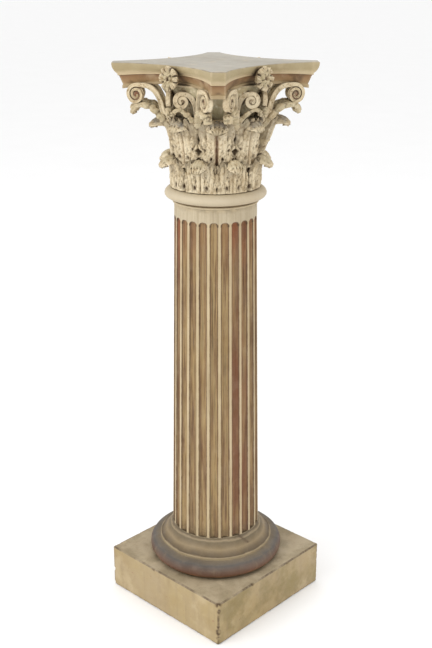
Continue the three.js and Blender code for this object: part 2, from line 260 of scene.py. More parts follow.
# Shares of a stalk's length, and its half-widths there
STALK_WIDTHS = ((0, 0.7, 0.86, 0.93, 1), (5, 7, 9, 10, 6))
STALK_RIBS = 6
# A spiral starts at this angle and loses this share of its radius
SPIRAL_START = math.radians(82)
SPIRAL_LOSS = 0.78
# Further in than this, a scroll's plane bends towards its stalk
PLANE_BEND = -24
STEM_TILT = math.radians(7)

FLOWER_OUT = 126
FLOWER_HEIGHT = 1176
FLOWER_RADIUS = 23.6
PETALS = 8
HEART_LOBES = 5
CRIMPS = 24
# From the flower's heart over its rim to its back: shares of the radius, and distances out
FLOWER_REACH = (
    (0, .05, .1, .16, .22, .3, .5, .62, .7, .78, .88, 1),
    (0, .08, .14, .22, .32, .42, .74, .95, 1, .94, .7, 0),
)
FLOWER_RELIEF = (
    (0, .05, .1, .16, .22, .27, .33, .5, .62, .7, .78, .88, 1),
    (2, 2.4, 4, 9, 11, 8, 5.5, 9.5, 8, 5, 2.5, -8, -22),
)

# Paint along the shade bands: [place, red, green, blue], as a screen shows it. Some stops are painted
# light and shade on the mouldings, as noted at each table
# Base: a painted highlight on the fillet that catches the light (.53) and a painted shade line just above
# it (.6)
BASE_BANDS = (
    (0, 120, 84, 52), (.07, 150, 104, 62), (.15, 108, 75, 56), (.27, 100, 78, 64),
    (.38, 88, 82, 76), (.46, 116, 104, 86), (.53, 154, 137, 106), (.57, 138, 121, 92),
    (.6, 92, 78, 58), (.66, 112, 96, 72), (.74, 142, 124, 94), (.8, 122, 106, 80),
    (.87, 106, 93, 70), (.9, 148, 131, 103), (.94, 100, 86, 64), (1, 92, 78, 56),
)
# Neck: painted shade in the groove under the torus (.3 to .36), and painted light on the torus's upper
# curve
NECK_BANDS = (
    (0, 150, 132, 100), (.08, 190, 176, 146), (.22, 188, 172, 142), (.3, 150, 130, 98),
    (.36, 156, 137, 106), (.44, 188, 174, 146), (.75, 196, 182, 156), (.94, 184, 170, 142),
    (1, 140, 120, 88),
)
# Abacus: a painted shadow line under the fillet (.51)
ABACUS_BANDS = (
    (0, 166, 161, 150), (.06, 160, 153, 138), (.12, 166, 151, 118), (.34, 166, 150, 114),
    (.4, 194, 176, 142), (.47, 190, 170, 134), (.51, 92, 70, 46), (.58, 134, 100, 66),
    (.78, 152, 122, 84), (.88, 172, 150, 112), (1, 156, 136, 104),
)
FLUTE_BANDS = ((.3, 92, 66, 42), (.42, 134, 106, 72), (.55, 168, 142, 98), (.7, 140, 124, 88))

# Single washes and stains: red, green and blue, as a screen shows them
WASHES = {
    "ochre crust": (140, 114, 74), "crust highlight": (226, 214, 186), "dark glaze and shade": (76, 56, 36),
    "ochre stain": (158, 128, 80), "brown pit": (120, 96, 60), "dark streak": (84, 62, 40),
    "light streak": (172, 148, 110), "rust wash": (122, 76, 50), "red glaze": (140, 78, 46),
    "pooled brown": (96, 66, 42), "flute side shade": (84, 58, 36), "fillet shade": (166, 144, 106),
    "band grey": (178, 170, 152), "warm side": (176, 156, 114), "olive stain": (140, 124, 82),
    "red fleck": (150, 104, 78), "light top": (172, 157, 130), "dark top": (150, 136, 108),
}

# Camera: it stands before the front corner, a little higher than the top, and looks down
CAMERA_TURN = math.radians(43.6)
CAMERA_DOWN = math.radians(19.67)
CAMERA_PLACE = (1.4385, -1.5095, 1.3936)
CAMERA_LENS = 57.04
# Studio lights: [place, size, power], all aimed at the middle of the column
LIGHTS = (((-0.9, -3.4, 3.0), 2.4, 60), ((3.6, -0.6, 2.4), 2.4, 15), ((0.2, 0.4, 4.2), 2.2, 20))
LIGHTS_AIM = (0, 0, 0.6)

# Rays that find what shuts a point in: how many, and how far they reach and how far off the
# surface they start, in metres
RAY_COUNT = 40
RAY_REACH = 0.05
RAY_START = 0.0008


def from_screen(red, green, blue):
    """A colour as a screen shows it, 0 to 255, as the linear light that a shader takes."""
    def linear(value):
        share = value / 255
        return share / 12.92 if share <= 0.04045 else ((share + 0.055) / 1.055) ** 2.4
    return (linear(red), linear(green), linear(blue), 1.0)


def wash(name):
    """One of the washes, as a colour that a shader takes."""
    return from_screen(*WASHES[name])


PLINTH_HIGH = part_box("plinth")[1]
SHAFT_LOW, SHAFT_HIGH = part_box("shaft")


class ColumnSizes(bpy.types.PropertyGroup):
    plinth_width: FloatProperty(
        name="Plinth width", description="Width of the square foot", unit="LENGTH",
        default=2 * PLINTH_HIGH.x)
    plinth_height: FloatProperty(
        name="Plinth height", description="Height of the square foot", unit="LENGTH",
        default=PLINTH_HIGH.z)
    plinth_rounding: FloatProperty(
        name="Arris rounding", description="Radius of the plinth's worn edges", unit="LENGTH",
        default=0.0028, min=0.0005, max=0.02)
    flute_count: IntProperty(
        name="Flutes", description="Number of flutes round the shaft", default=24, min=8, max=40)
    flute_depth: FloatProperty(
        name="Flute depth", description="Depth of a flute at its middle", unit="LENGTH",
        default=0.0062, min=0.001, max=0.012)
    leaf_relief: FloatProperty(
        name="Leaf relief", description="Depth of the leaves' pipes and grooves", unit="LENGTH",
        default=0.0034, min=0.0, max=0.006)


class ColumnColours(bpy.types.PropertyGroup):
    cream: FloatVectorProperty(
        name="Cream", description="Light paint on the raised parts", subtype="COLOR", size=4,
        min=0, max=1, default=from_screen(198, 180, 146))
    beige: FloatVectorProperty(
        name="Beige", description="Main paint", subtype="COLOR", size=4,
        min=0, max=1, default=from_screen(168, 148, 114))
    # The dirt colour also paints the shade in the hollows
    dirt: FloatVectorProperty(
        name="Dirt", description="Olive brown dirt in the hollows", subtype="COLOR", size=4,
        min=0, max=1, default=from_screen(82, 64, 42))
    rust: FloatVectorProperty(
        name="Rust", description="Reddish brown glaze in flutes and scrolls", subtype="COLOR",
        size=4, min=0, max=1, default=from_screen(128, 84, 58))
    pale: FloatVectorProperty(
        name="Pale", description="Lightest paint of the carving", subtype="COLOR", size=4,
        min=0, max=1, default=from_screen(228, 213, 182))
    olive: FloatVectorProperty(
        name="Olive", description="Greenish paint of the bell", subtype="COLOR", size=4,
        min=0, max=1, default=from_screen(150, 140, 102))
    grey: FloatVectorProperty(
        name="Grey", description="Grey dust on the tops", subtype="COLOR", size=4,
        min=0, max=1, default=from_screen(122, 119, 116))


# Mesh work


def nothing_selected():
    """Leaves edit mode and deselects everything."""
    if bpy.context.object and bpy.context.object.mode != "OBJECT":
        bpy.ops.object.mode_set(mode="OBJECT")
    bpy.ops.object.select_all(action="DESELECT")


def pick(piece):
    """Selects this piece alone and makes it the active one."""
    nothing_selected()
    piece.select_set(True)
    bpy.context.view_layer.objects.active = piece


def corners(mesh):
    """The mesh's points, one in a row, in metres."""
    flat = np.empty(len(mesh.vertices) * 3)
    mesh.vertices.foreach_get("co", flat)
    return flat.reshape(-1, 3)


def set_corners(mesh, points):
    """Moves the mesh's points, given as one in a row, in metres."""
    mesh.vertices.foreach_set("co", np.asarray(points, float).ravel())
    mesh.update()


def set_values(mesh, name, values):
    """Keeps one value for each point on the mesh, under a name that paints can read."""
    found = mesh.attributes.get(name) or mesh.attributes.new(name, "FLOAT", "POINT")
    found.data.foreach_set("value", np.asarray(values, np.float32))


def enclosed(mesh):
    """The volume inside a closed mesh, negative where its faces point inwards."""
    mesh.calc_loop_triangles()
    points = corners(mesh)
    faces = np.empty(len(mesh.loop_triangles) * 3, int)
    mesh.loop_triangles.foreach_get("vertices", faces)
    a, b, c = points[faces.reshape(-1, 3)].transpose(1, 0, 2)
    return (a * np.cross(b, c)).sum() / 6


def close_up(piece):
    """Drops the texture map, merges what coincides, fills the open ends and turns the faces
    outwards."""
    while piece.data.uv_layers:
        piece.data.uv_layers.remove(piece.data.uv_layers[0])
    bpy.context.view_layer.objects.active = piece
    bpy.ops.object.mode_set(mode="EDIT")
    bpy.ops.mesh.select_all(action="SELECT")
    bpy.ops.mesh.remove_doubles(threshold=MERGE)
    bpy.ops.mesh.fill_holes(sides=0)
    bpy.ops.mesh.normals_make_consistent(inside=False)
    bpy.ops.object.mode_set(mode="OBJECT")
    if enclosed(piece.data) < 0:
        bpy.ops.object.mode_set(mode="EDIT")
        bpy.ops.mesh.select_all(action="SELECT")
        bpy.ops.mesh.flip_normals()
        bpy.ops.object.mode_set(mode="OBJECT")


def bent_grid(name, columns, rows, shape):
    """A grid bent into a closed body. The shape takes shares 0 to 1 round and along it, and
    gives points in millimetres and a dictionary of values to keep on them."""
    nothing_selected()
    bpy.ops.mesh.primitive_grid_add(x_subdivisions=columns, y_subdivisions=rows, size=2)
    piece = bpy.context.object
    piece.name = name
    piece.data.name = name
    flat = corners(piece.data)
    points, values = shape((flat[:, 0] + 1) / 2, (flat[:, 1] + 1) / 2)
    set_corners(piece.data, points * MM)
    for key, value in values.items():
        set_values(piece.data, key, np.broadcast_to(value, len(flat)))
    close_up(piece)
    return piece


def finer(profile, step):
    """The same profile with extra points, none further apart than the step."""
    rows = [np.array(profile[0], float)]
    for row in profile[1:]:
        start = rows[-1]
        end = np.array(row, float)
        count = max(1, math.ceil(np.linalg.norm((end - start)[:2]) / step))
        rows.extend(start + (end - start) * k / count for k in range(1, count + 1))
    return np.array(rows)


def turned(name, profile, steps, step=6):
    """A profile turned round the axis. The shade band is kept on the mesh."""
    rows = finer(profile, step)
    mesh = bpy.data.meshes.new(name)
    mesh.from_pydata([(r * MM, 0, z * MM) for r, z, _ in rows],
                     [(k, k + 1) for k in range(len(rows) - 1)], [])
    set_values(mesh, "band", rows[:, 2])
    piece = bpy.data.objects.new(name, mesh)
    bpy.context.scene.collection.objects.link(piece)
    pick(piece)
    bpy.ops.object.mode_set(mode="EDIT")
    bpy.ops.mesh.select_all(action="SELECT")
    bpy.ops.mesh.spin(steps=steps, angle=TURN, center=(0, 0, 0), axis=(0, 0, 1))
    bpy.ops.object.mode_set(mode="OBJECT")
    close_up(piece)
    return piece


def joined(name, pieces):
    """One object out of several."""
    nothing_selected()
    for piece in pieces:
        piece.select_set(True)
    bpy.context.view_layer.objects.active = pieces[0]
    bpy.ops.object.join()
    pieces[0].name = name
    pieces[0].data.name = name
    return pieces[0]


def spots(angle, along, aside, z):
    """Points that lie along a level direction, aside of it to the left, at height z."""
    return np.stack([
        along * np.cos(angle) - aside * np.sin(angle),
        along * np.sin(angle) + aside * np.cos(angle),
        z + 0 * along,
    ], -1)


def smooth_path(points, count):
    """A smooth line through the points, at even steps along its length."""
    knots = np.asarray(points, float)
    padded = np.vstack([2 * knots[0] - knots[1], knots, 2 * knots[-1] - knots[-2]])
    t = np.linspace(0, 1, 12, endpoint=False)[:, None]
    runs = []
    for a, b, c, d in zip(padded, padded[1:], padded[2:], padded[3:]):
        runs.append(0.5 * (2 * b + (c - a) * t + (2 * a - 5 * b + 4 * c - d) * t ** 2
                           + (3 * b - a - 3 * c + d) * t ** 3))
    line = np.vstack(runs + [knots[-1:]])
    steps = np.linalg.norm(np.diff(line[:, :2], axis=0), axis=1)
    reach = np.concatenate([[0], np.cumsum(steps)])
    even = np.linspace(0, reach[-1], count)
    return np.stack([np.interp(even, reach, column) for column in line.T], -1)


def eased(low, high, value):
    """0 up to low, 1 from high on, and smooth between. With high below low it falls."""
    t = np.clip((value - low) / (high - low), 0, 1)
    return t * t * (3 - 2 * t)


def rippled(points, size, seed):
    """Smooth noise from -1 to 1 at points in millimetres."""
    shift = Vector((seed * 17.3, seed * 5.1, seed * 9.7))
    return np.array([noise.noise(Vector(p) / size + shift) for p in points])


def finish_piece(piece, material, slot, *nodes, angle=40):
    """Smooths and paints a piece, and has it stand for its solids on the fixed body."""
    pick(piece)
    bpy.ops.object.shade_smooth_by_angle(angle=math.radians(angle))
    piece.data.materials.clear()
    piece.data.materials.append(material)
    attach(piece, "root")
    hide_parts(*nodes)
    return piece


# Finishes


class NodeTable:
    """The node tree of one material, built a node at a time."""

    def __init__(self, name):
        self.material = bpy.data.materials.new(name)
        self.material.use_nodes = True
        self.tree = self.material.node_tree
        self.tree.nodes.clear()
        self.place = self.add("ShaderNodeTexCoord").outputs["Object"]

    def add(self, kind, inputs=None, **settings):
        """A node with its settings, and its inputs linked or set."""
        node = self.tree.nodes.new(kind)
        for key, value in settings.items():
            setattr(node, key, value)
        for key, value in (inputs or {}).items():
            if isinstance(value, bpy.types.NodeSocket):
                self.tree.links.new(value, node.inputs[key])
            else:
                node.inputs[key].default_value = value
        return node

    def value(self, name):
        """A value that is kept on the mesh."""
        return self.add("ShaderNodeAttribute", attribute_name=name).outputs["Fac"]

    def broken(self, name, scale, shift, low=0.3, least=0.5):
        """A value that is kept on the mesh, broken up by noise down to its least share."""
        noise_share = self.ranged(self.speckle(scale, 4, shift=shift), low, 0.6, least, 1)
        return self.maths("MULTIPLY", self.value(name), noise_share, True)

    def speckle(self, scale, detail=4, rough=0.55, stretch=None, shift=0.0):
        """Smooth noise from 0 to 1, with a size in patches per metre."""
        place = self.place
        if stretch or shift:
            place = self.add("ShaderNodeMapping", {
                "Vector": place, "Scale": stretch or (1, 1, 1), "Location": (shift,) * 3,
            }).outputs["Vector"]
        return self.add("ShaderNodeTexNoise", {
            "Vector": place, "Scale": scale, "Detail": detail, "Roughness": rough,
        }).outputs["Fac"]

    def ranged(self, value, low, high, start=0.0, end=1.0):
        """The value from low to high, spread smoothly from start to end."""
        return self.add("ShaderNodeMapRange", {
            "Value": value, "From Min": low, "From Max": high, "To Min": start, "To Max": end,
        }, interpolation_type="SMOOTHSTEP").outputs["Result"]

    def maths(self, operation, a, b, clamp=False):
        """One value out of two, kept within 0 to 1 where it is clamped."""
        return self.add("ShaderNodeMath", {0: a, 1: b}, operation=operation,
                        use_clamp=clamp).outputs["Value"]

    def blend(self, share, first, second, how="MIX"):
        """The second colour over the first, by its share."""
        node = self.add("ShaderNodeMix", data_type="RGBA", blend_type=how, clamp_factor=True)
        for socket, value in zip((node.inputs[0], node.inputs[6], node.inputs[7]),
                                 (share, first, second)):
            if isinstance(value, bpy.types.NodeSocket):
                self.tree.links.new(value, socket)
            else:
                socket.default_value = value
        return node.outputs[2]

    def bands(self, value, stops):
        """Colours at places along a value from 0 to 1."""
        node = self.add("ShaderNodeValToRGB", {"Fac": value})
        ramp = node.color_ramp
        while len(ramp.elements) > 1:
            ramp.elements.remove(ramp.elements[-1])
        ramp.elements[0].position = stops[0][0]
        ramp.elements[0].color = from_screen(*stops[0][1:])
        for place, *colour in stops[1:]:
            ramp.elements.new(place).color = from_screen(*colour)
        return node.outputs["Color"]

    def close(self, colour, roughness, relief, depth):
        """Ends the tree: colour, roughness, and relief in metres."""
        bump = self.add("ShaderNodeBump", {
            "Height": relief, "Distance": depth, "Strength": 1.0,
        }).outputs["Normal"]
        shader = self.add("ShaderNodeBsdfPrincipled", {
            "Base Color": colour, "Roughness": roughness, "Normal": bump,
        })
        out = self.add("ShaderNodeOutputMaterial")
        self.tree.links.new(shader.outputs["BSDF"], out.inputs["Surface"])
        return self.material


def weathered_and_shaded(table, colour, dirt=1.0, wear=1.0, streaks=0.35, specks=0.5, rough=0.0, patches=0.35):
    """Grime and painted shade in the hollows, light edges that are partly rubbed paint and partly painted
    highlight, washed streaks and specks over a painted colour.
    """
    tints = bpy.context.scene.column_colours
    # The crust's relief also feeds the bump: ochre dirt and painted shade in its low spots, painted
    # highlight on its high spots
    crust = table.speckle(150, 6, 0.62, shift=15)
    colour = table.blend(table.ranged(crust, 0.47, 0.36, 0, rough * 0.6), colour, wash("ochre crust"))
    colour = table.blend(table.ranged(crust, 0.54, 0.68, 0, rough * 0.6), colour, wash("crust highlight"))
    cloud = table.speckle(9, 5, 0.6)
    colour = table.blend(table.ranged(cloud, 0.35, 0.75, 0, 0.3), colour, tints.dirt, "SOFT_LIGHT")
    patch = table.speckle(26, 6, 0.65, shift=3.1)
    colour = table.blend(table.ranged(patch, 0.52, 0.72, 0, patches), colour, tints.cream)
    runs = table.speckle(60, 5, 0.6, stretch=(1, 1, 0.07))
    colour = table.blend(table.ranged(runs, 0.5, 0.75, 0, streaks), colour,
                         table.blend(0.5, tints.dirt, tints.beige))
    # Dirt and painted shade: the dirt colour darkens each point by how shut in it is
    hollow = table.maths("MULTIPLY", table.value("hollow"),
                         table.ranged(table.speckle(40, 5), 0.3, 0.65, 0.7, 1.2))
    colour = table.blend(table.ranged(hollow, 0.24, 0.9, 0, dirt), colour, tints.dirt)
    # Rubbed paint and painted highlight: cream lightens the sharp ridges
    rubbed_and_highlit = table.maths("MULTIPLY", table.ranged(table.value("ridge"), 0.06, 0.3, 0, wear),
                         table.ranged(table.speckle(55, 4, shift=8), 0.35, 0.6, 0.3, 1))
    colour = table.blend(rubbed_and_highlit, colour, tints.cream)
    # Dark glaze and painted shade from the soil value: cracks, chips and worn lines, and shade in holes,
    # grooves, crevices and under hoods
    colour = table.blend(table.broken("soil_and_shade", 130, 19), colour, wash("dark glaze and shade"))
    dots = table.ranged(table.speckle(420, 2, 0.5, shift=1.7), 0.68, 0.76, 0, specks)
    colour = table.blend(dots, colour, tints.dirt)
    roughness = table.ranged(table.speckle(45, 4), 0.3, 0.7, 0.62, 0.86)
    grain = table.maths("ADD", table.speckle(320, 4, 0.6),
                        table.maths("MULTIPLY", table.speckle(60, 3), 1.6))
    grain = table.maths("ADD", grain, table.maths("MULTIPLY", crust, 5 * rough))
    return table.close(colour, roughness, grain, 0.0006)


def leaf_paint():
    """Cream paint with brown grime and painted shade for the carved capital, greyer on its upper tips."""
    table = NodeTable("aged cream carving")
    tints = bpy.context.scene.column_colours
    colour = table.blend(table.ranged(table.speckle(34, 5), 0.25, 0.6), tints.cream, tints.pale)
    colour = table.blend(table.broken("olive", 60, 2), colour, tints.olive)
    colour = table.blend(table.broken("grey", 48, 4, least=0.4), colour, tints.grey)
    ochre = table.ranged(table.speckle(30, 6, 0.7, stretch=(1, 1, 0.6), shift=11), 0.52, 0.68, 0, 0.5)
    colour = table.blend(ochre, colour, wash("ochre stain"))
    colour = table.blend(table.broken("red", 80, 6, low=0.25), colour, tints.rust)
    pits = table.ranged(table.speckle(190, 3, 0.6, shift=13), 0.66, 0.74, 0, 0.4)
    colour = table.blend(pits, colour, wash("brown pit"))
    return weathered_and_shaded(table, colour, dirt=1.1, streaks=0.25, specks=0.7, rough=1.0)


def band_paint(name, stops, wobble=0.008, **weather):
    """Paint that changes from moulding to moulding, along lines drawn by hand."""
    table = NodeTable(name)
    place = table.maths("ADD", table.value("band"),
                        table.ranged(table.speckle(22, 5), 0.3, 0.7, -wobble, wobble))
    return weathered_and_shaded(table, table.bands(place, stops), **weather)


def shaft_paint():
    """Light fillets, and flutes washed in tan, olive and reddish brown, with painted shade along their
    sides.
    """
    table = NodeTable("washed fluted shaft")
    tints = bpy.context.scene.column_colours
    washed = table.bands(table.speckle(130, 6, 0.66, stretch=(1, 1, 0.045)), FLUTE_BANDS)
    fine = table.speckle(330, 4, 0.6, stretch=(1, 1, 0.018), shift=7)
    washed = table.blend(table.ranged(fine, 0.52, 0.66, 0, 0.6), washed, wash("dark streak"))
    washed = table.blend(table.ranged(fine, 0.46, 0.34, 0, 0.5), washed, wash("light streak"))
    drift = table.ranged(table.speckle(9, 4, stretch=(1, 1, 0.3), shift=5), 0.3, 0.7, -0.4, 0.4)
    tone = table.maths("ADD", table.value("tone"), drift)
    washed = table.blend(table.ranged(tone, 0.3, 0.95, 0, 0.85), washed, wash("rust wash"))
    glaze = table.maths("MULTIPLY", table.value("red"), table.value("tone"))
    washed = table.blend(glaze, washed, wash("red glaze"))
    pooled = table.ranged(table.speckle(24, 5, 0.6, stretch=(1, 1, 0.2), shift=9), 0.5, 0.7, 0, 0.5)
    washed = table.blend(pooled, washed, wash("pooled brown"))
    flute = table.value("flute")
    # Painted shade along each flute's sides, under the fillets' edges
    side = table.maths("MULTIPLY", table.ranged(flute, 0.1, 0.25),
                       table.ranged(flute, 0.62, 0.34, 0, 0.8))
    washed = table.blend(side, washed, wash("flute side shade"))
    fillet = table.blend(table.ranged(fine, 0.4, 0.62, 0, 0.5), tints.cream, wash("fillet shade"))
    colour = table.blend(table.ranged(flute, 0.02, 0.16), fillet, washed)
    colour = table.blend(table.value("grey"), colour, wash("band grey"))
    return weathered_and_shaded(table, colour, dirt=0.4, streaks=0.4, patches=0.1)


def plinth_paint():
    """Beige sides with cloudy stains and reddish flecks, and a greyer top."""
    table = NodeTable("stained beige plinth")
    tints = bpy.context.scene.column_colours
    side = table.blend(table.ranged(table.speckle(8, 6, 0.65), 0.35, 0.7), tints.beige,
                       wash("warm side"))
    side = table.blend(table.ranged(table.speckle(15, 5, shift=2), 0.55, 0.7, 0, 0.5), side,
                       tints.cream)
    stain = table.ranged(table.speckle(13, 6, 0.62, shift=5), 0.42, 0.62, 0, 0.75)
    side = table.blend(table.maths("MULTIPLY", table.value("olive"), stain), side,
                       wash("olive stain"))
    flecks = table.ranged(table.speckle(75, 5, 0.7, shift=21), 0.64, 0.7, 0, 0.45)
    side = table.blend(flecks, side, wash("red fleck"))
    top = table.blend(table.ranged(table.speckle(20, 5), 0.4, 0.65), wash("light top"),
                      wash("dark top"))
    colour = table.blend(table.value("top"), side, top)
    return weathered_and_shaded(table, colour, dirt=0.45, wear=0.3, specks=0.7, patches=0.25)


def floor_paint():
    """A plain pale studio floor."""
    table = NodeTable("pale studio floor")
    cloud = table.speckle(3, 2)
    colour = table.blend(cloud, (0.93, 0.93, 0.93, 1), (0.96, 0.96, 0.96, 1))
    return table.close(colour, 0.9, cloud, 0.0001)


# Pieces


def build_plinth(sizes):
    """A square block with rounded arrises, chips at its front corner and small dents."""
    nothing_selected()
    half = sizes.plinth_width / 2
    height = sizes.plinth_height
    bpy.ops.mesh.primitive_cube_add(size=2)
    piece = bpy.context.object
    piece.name = "plinth_block"
    bpy.ops.object.mode_set(mode="EDIT")
    bpy.ops.mesh.select_all(action="SELECT")
    bpy.ops.mesh.subdivide(number_cuts=71)
    bpy.ops.object.mode_set(mode="OBJECT")
    flat = corners(piece.data)
    # Closer rows near the edges, where the rounding and the chips are
    squeeze = math.radians(81)
    spread = np.sin(flat * squeeze) / math.sin(squeeze)
    points = spread * np.array([half, half, height / 2])
    radius = sizes.plinth_rounding
    core = np.clip(points, [-half + radius, -half + radius, -height / 2 + radius],
                   [half - radius, half - radius, height / 2 - radius])
    off = points - core
    length = np.linalg.norm(off, axis=1)
    outward = off / length[:, None]
    points = core + outward * radius
    edge = length > radius * 1.001
    lumps = rippled(points / MM, 9, 1)
    worn = np.clip(lumps - 0.1, 0, 1) * 1.6 * edge
    points -= outward * (worn * MM)[:, None]
    # Dark worn lines along the arrises; along the bottom edges they are painted shade
    soil_and_shade = edge * np.clip(rippled(points / MM, 24, 5) * 1.6 + 0.7, 0, 1) * 0.75
    # [place, size, depth]
    chips = (
        ((half, -half, height / 2), 0.014, 0.006), ((half, -half, height * 0.32), 0.009, 0.003),
        ((half, -half, -height * 0.06), 0.006, 0.0025), ((half, -half, -height * 0.2), 0.01, 0.003),
        ((half, -half, -height * 0.36), 0.008, 0.003), ((half, -half * 0.35, height / 2), 0.006, 0.003),
        ((half, half * 0.35, height / 2), 0.006, 0.0025), ((-half * 0.2, -half, height / 2), 0.008, 0.003),
        ((-half, half, height / 2), 0.009, 0.004), ((-half, -half, -height * 0.1), 0.007, 0.003),
    )
    for place, size, depth in chips:
        away = np.linalg.norm(points - np.array(place), axis=1) / size
        points -= outward * (depth * eased(1, 0.2, away) * (1 + 0.6 * lumps))[:, None]
        soil_and_shade = np.maximum(soil_and_shade, eased(1, 0.6, away) * eased(-0.5, 0.1, lumps))
    points[:, 2] += height / 2
    points[:, 2] = np.maximum(points[:, 2], 0)
    set_corners(piece.data, points)
    set_values(piece.data, "top", eased(height - 0.004, height - 0.0015, points[:, 2]))
    set_values(piece.data, "soil_and_shade", soil_and_shade)
    set_values(piece.data, "olive", eased(half - 0.006, half - 0.001, np.abs(points[:, 0])))
    close_up(piece)
    return finish_piece(piece, plinth_paint(), "plinth_paint", "plinth", angle=50)


def build_base_moulding():
    """A torus, a fillet and a hollow slope up to the shaft."""
    piece = turned("base_moulding_turned", BASE_PROFILE, 192, 4)
    x, y, z = (corners(piece.data) / MM).T
    angle = np.degrees(np.arctan2(y, x))
    # A slanting crack runs down from the shaft's foot
    off_line = angle - CRACK_ANGLE + 0.5 * (z - CRACK_HEIGHT)
    crack = np.exp(-(off_line / CRACK_WIDTH) ** 2) * (z > CRACK_ENDS[0]) * (z < CRACK_ENDS[1])
    set_values(piece.data, "soil_and_shade", crack * 0.9)
    paint = band_paint("brown and grey base", BASE_BANDS, wobble=0.02, streaks=0.3, wear=0.35,
                       patches=0.06)
    return finish_piece(piece, paint, "base_paint", "base_moulding", angle=50)


def build_shaft(sizes):
    """A tapering cylinder with flutes that end in round arches under a plain band."""
    count = sizes.flute_count
    low, high = SHAFT_LOW.z / MM, SHAFT_HIGH.z / MM
    depth = sizes.flute_depth / MM
    spacing = TURN / count
    # The arches are half round, and as wide as a flute is at its top
    arch = (FLUTE_TOP_RADIUS * spacing - FLUTE_FILLET) / 2
    arch_foot = FLUTE_TOP - arch
    tones = np.array([random.Random(SEED + k).random() for k in range(count)])
    for k, redness in FLUTE_REDNESS.items():
        tones[k % count] = redness
    levels = np.concatenate([
        np.linspace(low, low + 10, 5), np.linspace(low + 30, arch_foot - 12, 34),
        arch_foot + arch * np.sin(np.linspace(-0.5, math.pi / 2, 16)),
        [FLUTE_TOP + 1, FLUTE_TOP + 12, high],
    ])
    rows = len(levels) - 1

    def shape(u, v):
        angle = u * TURN
        z = levels[np.rint(v * rows).astype(int)]
        share = (z - low) / (high - low)
        radius = SHAFT_FOOT_RADIUS + (SHAFT_HEAD_RADIUS - SHAFT_FOOT_RADIUS) * share
        place = (angle - FLUTE_START) / spacing
        across = (place - np.rint(place)) * 2 / (1 - FLUTE_FILLET / (radius * spacing))
        opening = np.sqrt(1 - np.clip((z - arch_foot) / arch, 0, 1) ** 2)
        off_middle = (across / np.maximum(opening, 1e-6)) ** 2
        below_top = z <= FLUTE_TOP - 0.01
        inside = np.clip(1 - off_middle, 0, 1) * below_top
        painted = np.clip(1 - off_middle / 1.4, 0, 1) * below_top
        cut = depth * inside ** 0.8 * opening ** 0.5
        # Painted shadow under each flute's arch; the flutes are also darker towards their feet
        arch_shadow = 0.9 * eased(0.6, 0.2, inside) * (painted > 0) * (z > FLUTE_TOP - 1.3 * arch)
        flute_foot_darkening = 0.5 * eased(low + 34, low + 4, z) * (painted > 0.1)
        head_red = 0.8 * eased(FLUTE_TOP - 130, FLUTE_TOP - 10, z) * (painted > 0.1)
        flute = np.rint(place).astype(int) % count
        return spots(angle, radius - cut, 0 * z, z), {
            "flute": painted, "tone": tones[flute] * (0.45 + 0.55 * share),
            "soil_and_shade": np.maximum(arch_shadow, flute_foot_darkening), "grey": 0.45 * (z > FLUTE_TOP - 3),
            "red": head_red,
        }

    piece = bent_grid("fluted_shaft", count * 16, rows, shape)
    return finish_piece(piece, shaft_paint(), "shaft_paint", "shaft", angle=32)


def build_neck_ring():
    """A thin bead and a torus under the capital."""
    piece = turned("neck_ring_turned", NECK_PROFILE, 160, 4)
    paint = band_paint("smooth cream neck", NECK_BANDS, dirt=0.45, streaks=0.1, specks=0.3)
    return finish_piece(piece, paint, "neck_paint", "neck_ring", angle=50)


